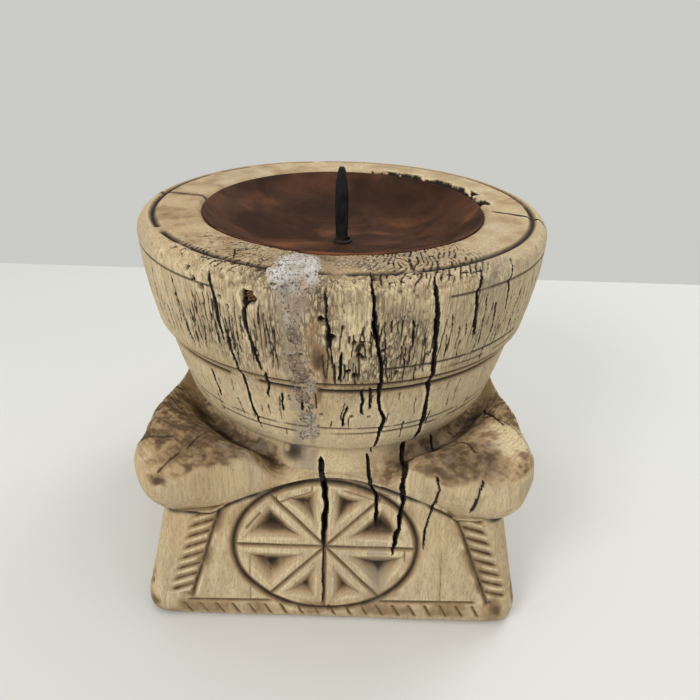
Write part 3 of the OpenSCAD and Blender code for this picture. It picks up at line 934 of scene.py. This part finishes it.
def plaster_thickness(block):
    """How proud the plaster stands of the wood on the turned part; below 0 there is none."""
    _, angle, level, radius, spot = block.turned()
    left, right = plaster_edges(level)
    inside = np.minimum(angle - left, right - angle) * np.radians(1) * radius
    grit = layered_noise(spot, (1.5, 1.5, 2.0), 121, 3, 0.7)
    lumps = noise(spot, (3.5, 3.5, 5), 125)
    on_rim = ramp(level, RIM_Z - 8, RIM_Z)
    cover = np.clip(inside / 3.0, -1, 1) * (0.3 + 0.25 * on_rim) - 0.1
    thick = cover + (grit - 0.5) * 0.9 + (lumps - 0.55) * (1.0 - 0.6 * on_rim) - 2 * ramp(-inside, 0.2, 2.2)
    ends = np.minimum(ramp(level, 76, 80), ramp(162.5 - level, 0, 3))
    return np.clip(thick * ends - 0.35 * (1 - ends), -0.5, 0.3 + 0.25 * on_rim)


def plaster_stain_and_arch_shadow(block):
    """Grey and brown bloom round the plaster, the slate patch on the neck, a painted shadow line under the
    slab's arched edge and the grey smear on the foot.
    """
    rows, angle, level, _, spot = block.turned()
    left, right = plaster_edges(level)
    soft = np.minimum(angle - left + 1.5, right + 1 - angle)
    mottled = ramp(noise(spot, (2.6, 2.6, 5), 131), 0.2, 0.6)
    strip = bump(wrap(angle + 4.0), 0, 4.6) ** 0.6 * bump(level, 112, 34)
    strip = strip * ramp(noise(spot, (3, 3, 9), 132), 0.15, 0.6)
    slate = bump(wrap(angle + 15.5), 0, 6) ** 0.4 * bump(level, 68.5, 4) ** 0.4
    slate = slate * ramp(noise(spot, 3, 133), 0.1, 0.4)
    block.raise_to(rows, stain=strip * 0.95, dark=slate * 0.8)
    block.raise_to(rows, grey=np.maximum(ramp(soft, 0, 3) * (0.4 + 0.6 * mottled), slate))

    low = slice(block.starts["panel"], None)
    # Painted shadow along the top of the panels, under the overhanging arched edge of the slab.
    arch_overhang_shadow = bell(np.arange(block.rows) - block.starts["panel"], 5.0)[:, None]
    block.raise_to(dark=arch_overhang_shadow * 0.85 * ramp(layered_noise(block.points, 8, 134, 2), 0.1, 0.5))
    smear = (bump(block.across[low], 17, 5) * bump(block.height[low], 22, 17)) ** 0.5
    block.raise_to(low, grey=smear * (block.face == 0)[None, :])


# ================================================================ the pieces
def close_disc(points, faces, ring, height):
    """Closes a ring of points with a flat fan of smaller rings, each with half as many points as the last.

    The new faces go into the list, and the points come back with the new ones added.
    """
    fewest, shrink = 10, 0.62
    while len(ring) > fewest:
        inner = points[ring[::2]] * (shrink, shrink, 0) + (0, 0, height)
        new = len(points) + np.arange(len(inner))
        points = np.concatenate([points, inner])
        even, odd, following = ring[::2], ring[1::2], np.roll(ring[::2], -1)
        faces.append(np.stack([even, new, odd], -1))
        faces.append(np.stack([odd, new, np.roll(new, -1), following], -1))
        ring = new
    faces.append(ring[None, :])
    return points


def build_wood(material):
    """The whole block, worn and closed at the bottom of the hollow and of the foot."""
    block = Block()
    weathering(block)
    rim_wear(block)
    carving(block)
    slab_wear(block)
    small_checks(block)
    turned_grooves(block)
    measured_cracks(block)
    beetle_holes(block)
    peg_hole(block)
    plaster_stain_and_arch_shadow(block)
    limit_depth(block)
    cavity_shade_dirt_and_highlights(block)
    block.wear_down()
    points = block.worn.reshape(-1, 3)
    faces = [ring_faces(block.rows, COLUMNS)]
    ring = np.arange(COLUMNS)
    points = close_disc(points, faces, (block.rows - 1) * COLUMNS + ring, 0)
    points = close_disc(points, faces, ring[::-1], LINER_FLOOR - SHEET - HOLLOW_GAP)
    wood = make_mesh("wood_block_worn", points, faces, material)
    unmarked = np.zeros(len(points) - block.rows * COLUMNS)
    for name in FIELDS:
        values = np.clip(getattr(block, name), 0, 1).ravel()
        set_field(wood, name, np.concatenate([values, unmarked]))
    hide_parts("wood_block")
    return block, wood


def build_plaster(block, material):
    """A closed crust over the front of the bowl, sunk into the wood wherever its thickness is below 0."""
    thick = plaster_thickness(block)
    thinnest, sunk = -0.3, 0.9
    rows, columns = np.nonzero(thick > thinnest)
    shown = rows > block.hidden_rows + 2
    rows, columns = rows[shown], columns[shown]
    left_to_right = np.argsort(block.angle)
    at = np.ix_(np.arange(rows.min(), rows.max() + 1), left_to_right[np.isin(left_to_right, columns)])
    lift = thick[at]
    top = block.worn[at] + block.normals[at] * lift[..., None]
    foot = block.worn[at] - block.normals[at] * sunk
    solid = lift > thinnest
    quads = solid[:-1, :-1] & solid[1:, :-1] & solid[1:, 1:] & solid[:-1, 1:]
    index = np.arange(lift.size).reshape(lift.shape)
    corners = np.stack([index[:-1, :-1], index[1:, :-1], index[1:, 1:], index[:-1, 1:]], -1)[quads]
    edges = np.concatenate([np.stack([corners[:, i], corners[:, (i + 1) % 4]], -1) for i in range(4)])
    keys = edges[:, 0] * lift.size + edges[:, 1]
    back = edges[:, 1] * lift.size + edges[:, 0]
    border = edges[~np.isin(keys, back)]
    under = corners[:, ::-1] + lift.size
    walls = np.stack([border[:, 1], border[:, 0], border[:, 0] + lift.size, border[:, 1] + lift.size], -1)
    points = np.concatenate([top.reshape(-1, 3), foot.reshape(-1, 3)])
    faces = np.concatenate([corners, under, walls])
    used, renumbered = np.unique(faces, return_inverse=True)
    crust = make_mesh("lime_plaster_crust", points[used], [renumbered.reshape(-1, 4)], material)
    white = np.broadcast_to(ramp(block.level, RIM_Z - 9, RIM_Z - 1)[:, None], thick.shape)[at].ravel()
    set_field(crust, "white", np.concatenate([white, white])[used])
    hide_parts("lime_plaster")
    return crust


def build_liner(material):
    """The copper dish: a beaten sheet that curves up to its edge, with a hole for the tang."""
    hole_r, flat_steps, columns = 3.0, 25, 320
    rise = np.radians(np.linspace(0, BEND_END, 60))
    flat = np.stack([np.linspace(hole_r, FLAT_R, flat_steps + 1)[:-1], np.full(flat_steps, LINER_FLOOR)], -1)
    bend = np.stack([FLAT_R + BEND_R * np.sin(rise), BEND_Z - BEND_R * np.cos(rise)], -1)
    inner = np.concatenate([flat, bend])
    tilt = np.concatenate([np.zeros(flat_steps), rise])
    outer = inner + SHEET * np.stack([np.sin(tilt), -np.cos(tilt)], -1)
    outer[:, 1] = np.minimum(outer[:, 1], inner[:, 1])
    profile = np.concatenate([inner, outer[::-1]])
    points = ring_points(profile[:, :1], profile[:, 1:], swing_of(columns))
    beaten = layered_noise(points, 9, 151, 2) - 0.5
    dents = ramp(noise(points, 6, 155), 0.55, 0.9)
    count = len(inner)
    held = ramp(LINER_R - inner[:, 0], 0.4, 6)[:, None]
    points[:count, :, 2] += np.maximum(0.7 * beaten - 0.35 * dents, -0.25)[:count] * held
    points[..., 2] = np.clip(points[..., 2], liner_low.z, liner_high.z)
    faces = [turned_faces(len(profile), columns)[:, ::-1]]
    liner = make_mesh("copper_liner_beaten", points, faces, material)
    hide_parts("copper_liner")
    return liner


def build_spike(material):
    """Square spike drawn out by hammer, with a slight lean to the left."""
    sections = [
        # height above the floor of the dish, half width
        (-TANG_H, 0.7), (-20, 1.1), (-8, 1.6), (-2, 1.9), (0, 2.3), (1.2, 2.35), (8, 2.5), (15, 2.6),
        (20, 2.45), (24, 2.1), (26.5, 1.7), (28.2, 1.35), (SPIKE_H, 0.8),
    ]
    columns, squareness, twist = 48, 7, 8
    heights = np.linspace(-TANG_H, SPIKE_H, 150)[:, None]
    half = np.interp(heights, *zip(*sections))
    swing = swing_of(columns, twist)
    square = (np.abs(np.cos(swing)) ** squareness + np.abs(np.sin(swing)) ** squareness) ** (-1 / squareness)
    points = ring_points(half * square * 0.985, LINER_FLOOR + heights, swing)
    facets = layered_noise(points, (2.6, 2.6, 4.5), 161, 3) - 0.5
    points[..., :2] *= (1 + 0.16 * facets)[..., None]
    points[..., 0] -= 0.35 + 0.6 * heights.clip(0) / SPIKE_H
    points[..., 0] = np.clip(points[..., 0], spike_low.x - 0.9, spike_high.x)
    spike = make_mesh("iron_spike_forged", points, rod_faces(len(heights), columns), material)
    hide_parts("iron_spike")
    return spike


def build_collar(material):
    """The rough shoulder at the foot of the spike."""
    columns, hole_r, outer_r = 96, 2.75, collar_high.x
    height = collar_high.z - collar_low.z
    outline = [
        (hole_r, 0), (outer_r, 0), (outer_r, height * 0.45), (outer_r - 0.7, height * 0.85),
        (3.1, height), (hole_r, height * 0.9), (hole_r, 0),
    ]
    profile = resample(outline, 0.22)[:-1]
    points = ring_points(profile[:, :1], profile[:, 1:] + collar_low.z, swing_of(columns))
    rough = layered_noise(points, 1.4, 171, 2) * ramp(profile[:, :1], 2.9, 3.3)
    points[..., :2] *= 1 - 0.14 * rough[..., None]
    collar = make_mesh("spike_collar_rough", points, [turned_faces(len(profile), columns)], material)
    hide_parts("spike_collar")
    return collar


def build_peg(material):
    """A broken peg: fibres of different lengths at its outer end."""
    columns, rings, shaft_rows = 40, 12, 20
    inner_reach, outer_reach = 60.0, 74.6
    peg_r = PEG_R * 0.96
    shaft_reach = np.linspace(inner_reach, outer_reach, shaft_rows)
    cap_r = peg_r * (1 - np.arange(1, rings) / rings)
    radius = np.concatenate([np.full(shaft_rows, peg_r), cap_r])[:, None]
    reach = np.concatenate([shaft_reach, np.full(rings - 1, outer_reach)])[:, None]
    swing = swing_of(columns)
    side, up, out = np.broadcast_arrays(radius * np.cos(swing), radius * np.sin(swing), reach)
    torn = layered_noise(np.stack([side, up, np.zeros_like(up)], -1), (0.7, 0.7, 1), 181, 2) - 0.5
    out = out + (torn * 2.2 + 0.5 * up / PEG_R) * ramp(out, outer_reach - 1, outer_reach)
    turn = math.radians(PEG_ANGLE)
    east = side * math.cos(turn) + out * math.sin(turn)
    north = side * math.sin(turn) - out * math.cos(turn)
    points = np.stack([east, north, up + PEG_Z], -1)
    peg = make_mesh("peg_stub_torn", points, rod_faces(len(points), columns), material)
    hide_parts("peg_stub")
    return peg


# ================================================================ materials
class Paint:
    """A node material whose colour is laid on coat by coat. Every texture is placed by object coordinates."""

    def __init__(self, name, colour):
        self.material = bpy.data.materials.new(name)
        self.material.use_nodes = True
        self.tree = self.material.node_tree
        self.shader = self.tree.nodes["Principled BSDF"]
        self.place = self.tree.nodes.new("ShaderNodeTexCoord").outputs["Object"]
        self.colour = colour

    def put(self, socket, value):
        """Links an output to a socket, or sets the socket to a plain value."""
        if isinstance(value, bpy.types.NodeSocket):
            self.tree.links.new(value, socket)
        elif isinstance(value, (tuple, list)) and len(value) == 3 and socket.type == "RGBA":
            socket.default_value = (*value, 1)
        else:
            socket.default_value = value

    def node(self, kind, operation, *inputs):
        """A maths node of one kind with its inputs."""
        made = self.tree.nodes.new(kind)
        made.operation = operation
        for socket, value in zip(made.inputs, inputs):
            self.put(socket, value)
        return made.outputs[0]

    def maths(self, operation, first, second):
        """The sum, product and so on of two numbers."""
        return self.node("ShaderNodeMath", operation, first, second)

    def weighted(self, first, first_share, second, second_share):
        """Two numbers added, each by its own share."""
        shares = self.maths("MULTIPLY", first, first_share), self.maths("MULTIPLY", second, second_share)
        return self.maths("ADD", *shares)

    def noise(self, scale, detail=4.0, roughness=0.6, distortion=0.0):
        """Noise whose lumps are one over scale in size, in metres, along x, y and z."""
        texture = self.tree.nodes.new("ShaderNodeTexNoise")
        settings = {"Scale": 1, "Detail": detail, "Roughness": roughness, "Distortion": distortion}
        settings["Vector"] = self.node("ShaderNodeVectorMath", "MULTIPLY", self.place, scale)
        for name, value in settings.items():
            self.put(texture.inputs[name], value)
        return texture.outputs["Fac"]

    def network(self, scale, jitter):
        """Distance to the nearest line of a net of cracks, with cells one over scale in size, in metres."""
        stretched = self.node("ShaderNodeVectorMath", "MULTIPLY", self.place, scale)
        shift = self.maths("MULTIPLY", self.noise(scale, 3.0), jitter)
        cells = self.tree.nodes.new("ShaderNodeTexVoronoi")
        cells.feature = "DISTANCE_TO_EDGE"
        self.put(cells.inputs["Vector"], self.node("ShaderNodeVectorMath", "ADD", stretched, shift))
        cells.inputs["Scale"].default_value = 1
        return cells.outputs["Distance"]

    def axis(self, number):
        """Place along x, y or z, in metres."""
        node = self.tree.nodes.new("ShaderNodeSeparateXYZ")
        self.put(node.inputs[0], self.place)
        return node.outputs[number]

    def field(self, name):
        """A number stored on the mesh."""
        node = self.tree.nodes.new("ShaderNodeAttribute")
        node.attribute_name = name
        return node.outputs["Fac"]

    def spread(self, value, low, high, to_low=0.0, to_high=1.0):
        """value from low to high, spread over to_low to to_high and clamped."""
        node = self.tree.nodes.new("ShaderNodeMapRange")
        node.interpolation_type = "SMOOTHSTEP"
        ends = {"Value": value, "From Min": low, "From Max": high, "To Min": to_low, "To Max": to_high}
        for name, end in ends.items():
            self.put(node.inputs[name], end)
        return node.outputs["Result"]

    def mix(self, share, first, second):
        """Colour between first and second."""
        node = self.tree.nodes.new("ShaderNodeMix")
        node.data_type = "RGBA"
        factor, colour_a, colour_b, result = 0, 6, 7, 2
        self.put(node.inputs[factor], share)
        self.put(node.inputs[colour_a], first)
        self.put(node.inputs[colour_b], second)
        return node.outputs[result]

    def tint(self, share, over):
        """Lays a colour over the last one, by a share from 0 to 1."""
        self.colour = self.mix(share, self.colour, over)

    def coat(self, value, low, high, over, most=1.0):
        """Lays a colour over the last one, from nothing at low to a share of most at high."""
        self.tint(self.spread(value, low, high, 0.0, most), over)

    def relief(self, height, distance):
        """Raises the surface by a height from 0 to 1 times a distance in metres."""
        node = self.tree.nodes.new("ShaderNodeBump")
        node.inputs["Strength"].default_value = 1.0
        node.inputs["Distance"].default_value = distance
        self.put(node.inputs["Height"], height)
        self.put(self.shader.inputs["Normal"], node.outputs["Normal"])

    def finish(self, roughness, metallic=0.0, specular=0.5):
        """Sets the shader and gives the finished material."""
        self.put(self.shader.inputs["Base Color"], self.colour)
        self.put(self.shader.inputs["Roughness"], roughness)
        self.put(self.shader.inputs["Metallic"], metallic)
        self.put(self.shader.inputs["Specular IOR Level"], specular)
        return self.material


def old_wood():
    """Pale dry wood: fine upright grain, grey and honey streaks, dark cracks and brown stains, with painted
    shade and painted highlights from the mesh fields.
    """
    paint = Paint("weathered_wood", (0.53, 0.405, 0.245))
    fibre = paint.noise((1500, 1500, 75), 5, 0.65)
    streak = paint.noise((260, 260, 14), 4, 0.6)
    blotch = paint.noise((42, 42, 30), 4, 0.55)
    warm = paint.noise((24, 24, 17), 3, 0.5)
    speck = paint.noise((900, 900, 420), 3, 0.7)
    hair = paint.noise((2600, 2600, 90), 3, 0.6)
    weather = paint.field("weather")
    paint.coat(streak, 0.34, 0.66, (0.65, 0.525, 0.33))
    paint.coat(warm, 0.48, 0.68, (0.56, 0.38, 0.20), 0.4)
    paint.coat(blotch, 0.45, 0.68, (0.47, 0.41, 0.31), 0.45)
    # pale field: paler wood and wear, painted highlights on ridges and some painted light on the bowl's sides
    paint.coat(paint.field("pale"), 0.0, 1.0, (0.80, 0.67, 0.42), 0.8)
    fibre_share = paint.maths("MULTIPLY", paint.spread(fibre, 0.33, 0.6, 0.85, 0.0), weather)
    paint.tint(fibre_share, (0.2, 0.14, 0.085))
    paint.coat(hair, 0.56, 0.7, (0.24, 0.165, 0.095), 0.38)
    speck_share = paint.maths("MULTIPLY", paint.spread(speck, 0.6, 0.7, 0, 0.8), weather)
    paint.tint(speck_share, (0.09, 0.06, 0.04))
    net = paint.spread(paint.network((800, 800, 210), 1.3), 0.02, 0.26, 1.0, 0.0)
    torn = paint.maths("MULTIPLY", net, paint.spread(blotch, 0.4, 0.56))
    torn = paint.maths("MULTIPLY", torn, paint.spread(weather, 0.55, 1.0, 0.0, 0.75))
    paint.tint(torn, (0.07, 0.045, 0.028))
    # stain field: brown stains, and painted shade in carved grooves, pockets and beside the neck
    stain = paint.maths("MULTIPLY", paint.field("stain"), paint.spread(streak, 0.3, 0.6, 0.7, 1.1))
    paint.coat(stain, 0.0, 0.55, (0.37, 0.24, 0.12), 0.75)
    paint.coat(stain, 0.25, 1.1, (0.072, 0.042, 0.022), 0.93)
    paint.coat(paint.field("grey"), 0.05, 1.0, (0.34, 0.275, 0.2), 0.75)
    # dark field: cracks, holes and grain lines, and painted shade in hollows, grooves, pockets and under the
    # slab's arched edge
    paint.coat(paint.field("dark"), 0.12, 0.95, (0.016, 0.011, 0.008))
    paint.relief(paint.weighted(fibre, 0.6, speck, 0.4), 0.0004)
    return paint.finish(paint.spread(streak, 0.3, 0.7, 0.72, 0.88), specular=0.28)


def dark_copper():
    """Copper gone brown, darker towards the back, with warmer rubbed places."""
    paint = Paint("dark_copper", (0.036, 0.014, 0.0065))
    cloud = paint.noise((55, 55, 60), 5, 0.6, 0.6)
    fine = paint.noise((420, 420, 420), 4, 0.6)
    rubbed = paint.noise((38, 70, 60), 3, 0.5, 0.3)
    paint.coat(cloud, 0.36, 0.66, (0.085, 0.033, 0.014))
    paint.coat(rubbed, 0.5, 0.75, (0.25, 0.094, 0.038), 0.65)
    paint.coat(fine, 0.5, 0.75, (0.045, 0.022, 0.013), 0.5)
    paint.coat(paint.axis(1), -0.01, 0.045, (0.028, 0.014, 0.009), 0.6)
    paint.relief(paint.weighted(cloud, 0.4, fine, 0.2), 0.0004)
    return paint.finish(paint.spread(cloud, 0.3, 0.7, 0.8, 0.62), metallic=0.1, specular=0.15)


def black_iron():
    """Forged iron: black scale with a little brown rust."""
    paint = Paint("black_iron", (0.004, 0.0042, 0.0045))
    scale = paint.noise((500, 500, 260), 5, 0.6)
    paint.coat(scale, 0.4, 0.65, (0.015, 0.0155, 0.014))
    paint.coat(paint.noise((190, 190, 120), 4, 0.6), 0.58, 0.74, (0.05, 0.026, 0.014), 0.55)
    paint.relief(scale, 0.0005)
    return paint.finish(paint.spread(scale, 0.35, 0.65, 0.55, 0.8), metallic=0.2, specular=0.35)


def peg_wood():
    """Dark brown end grain of the broken peg."""
    paint = Paint("peg_wood", (0.06, 0.03, 0.016))
    fibre = paint.noise((1800, 1800, 1800), 4, 0.65)
    paint.coat(fibre, 0.35, 0.65, (0.24, 0.125, 0.06))
    paint.coat(paint.noise((400, 400, 400), 3, 0.5), 0.5, 0.7, (0.33, 0.2, 0.11), 0.5)
    paint.relief(fibre, 0.0004)
    return paint.finish(0.8, specular=0.3)


def lime():
    """Lime plaster: white on the rim, grey brown and gritty on the wall, with black specks."""
    paint = Paint("lime_plaster", None)
    cloud = paint.noise((130, 130, 90), 4, 0.6)
    grit = paint.noise((1100, 1100, 900), 4, 0.7)
    low = paint.mix(paint.spread(cloud, 0.4, 0.62), (0.20, 0.14, 0.092), (0.43, 0.36, 0.275))
    high = paint.mix(paint.spread(cloud, 0.38, 0.6), (0.44, 0.385, 0.33), (0.66, 0.635, 0.6))
    paint.colour = paint.mix(paint.field("white"), low, high)
    paint.coat(paint.noise((110, 110, 110), 3, 0.5), 0.55, 0.7, (0.42, 0.27, 0.15), 0.6)
    paint.coat(grit, 0.5, 0.66, (0.62, 0.58, 0.54), 0.5)
    paint.coat(paint.noise((1300, 1300, 1100), 3, 0.6), 0.53, 0.62, (0.07, 0.05, 0.045), 0.85)
    paint.relief(grit, 0.0006)
    return paint.finish(0.92, specular=0.25)


def table_white():
    """A matt near-white surface with a trace of cloudiness, for the table top."""
    colour = (0.73, 0.735, 0.72)
    paint = Paint("floor_white", colour)
    paint.tint(paint.noise((6, 6, 6), 2, 0.5), tuple(channel * 0.985 for channel in colour))
    return paint.finish(0.55, specular=0.3)


# ================================================================ stage
def add_floor():
    """A white table top that ends behind the object."""
    left, right, front, back, thick = -1800, 1800, -1800, 292, 30
    points = [(x, y, z) for z in (-thick, 0) for y in (front, back) for x in (left, right)]
    faces = [[(0, 2, 3, 1), (4, 5, 7, 6), (0, 1, 5, 4), (1, 3, 7, 5), (3, 2, 6, 7), (2, 0, 4, 6)]]
    make_mesh("floor", points, faces, table_white(), smooth=False)


def add_light(name, place, size, power, colour=(1, 1, 1)):
    """A round soft light that faces the middle of the object; place and size are in metres."""
    middle = Vector((0, 0, 0.09))
    light = bpy.data.lights.new(name, "AREA")
    light.shape = "DISK"
    light.size = size
    light.energy = power
    light.color = colour
    lamp = bpy.data.objects.new(name, light)
    bpy.context.scene.collection.objects.link(lamp)
    lamp.location = place
    lamp.rotation_euler = (middle - Vector(place)).to_track_quat("-Z", "Y").to_euler()


def add_lights():
    """A pale room with a window light from behind on the right, one from the front left and one overhead."""
    world = bpy.data.worlds.new("pale_room")
    world.use_nodes = True
    background = world.node_tree.nodes["Background"]
    background.inputs["Color"].default_value = (0.70, 0.70, 0.675, 1)
    background.inputs["Strength"].default_value = 0.85
    bpy.context.scene.world = world
    add_light("window", (0.6, 0.6, 0.8), 0.6, 3.2, (1.0, 0.99, 0.97))
    add_light("room_front", (-0.55, -0.75, 0.75), 0.45, 5.0, (1.0, 0.97, 0.92))
    add_light("overhead", (0.1, -0.1, 1.1), 0.8, 2.2)


def add_camera():
    """Phone camera a little above the rim, pitched down and rolled slightly."""
    camera = bpy.data.cameras.new("camera")
    camera.lens = 36
    camera.sensor_width = 36
    camera.clip_start = 0.01
    holder = bpy.data.objects.new("camera", camera)
    bpy.context.scene.collection.objects.link(holder)
    place = Matrix.Translation((0.0042, -0.2634, 0.2211))
    pitch = Matrix.Rotation(math.radians(90 - 27.9), 4, "X")
    roll = Matrix.Rotation(math.radians(1.8), 4, "Z")
    holder.matrix_world = place @ pitch @ roll
    bpy.context.scene.camera = holder


# ================================================================ the whole scene
block, wood = build_wood(old_wood())
iron = black_iron()
pieces = {
    "weathered_wood": [wood],
    "lime_plaster": [build_plaster(block, lime())],
    "dark_copper": [build_liner(dark_copper())],
    "black_iron": [build_spike(iron), build_collar(iron)],
    "brown_wood": [build_peg(peg_wood())],
}
for slot_name, made in pieces.items():
    for piece in made:
        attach(piece, "root")

add_floor()
add_lights()
add_camera()
bpy.context.scene.view_settings.view_transform = "Standard"
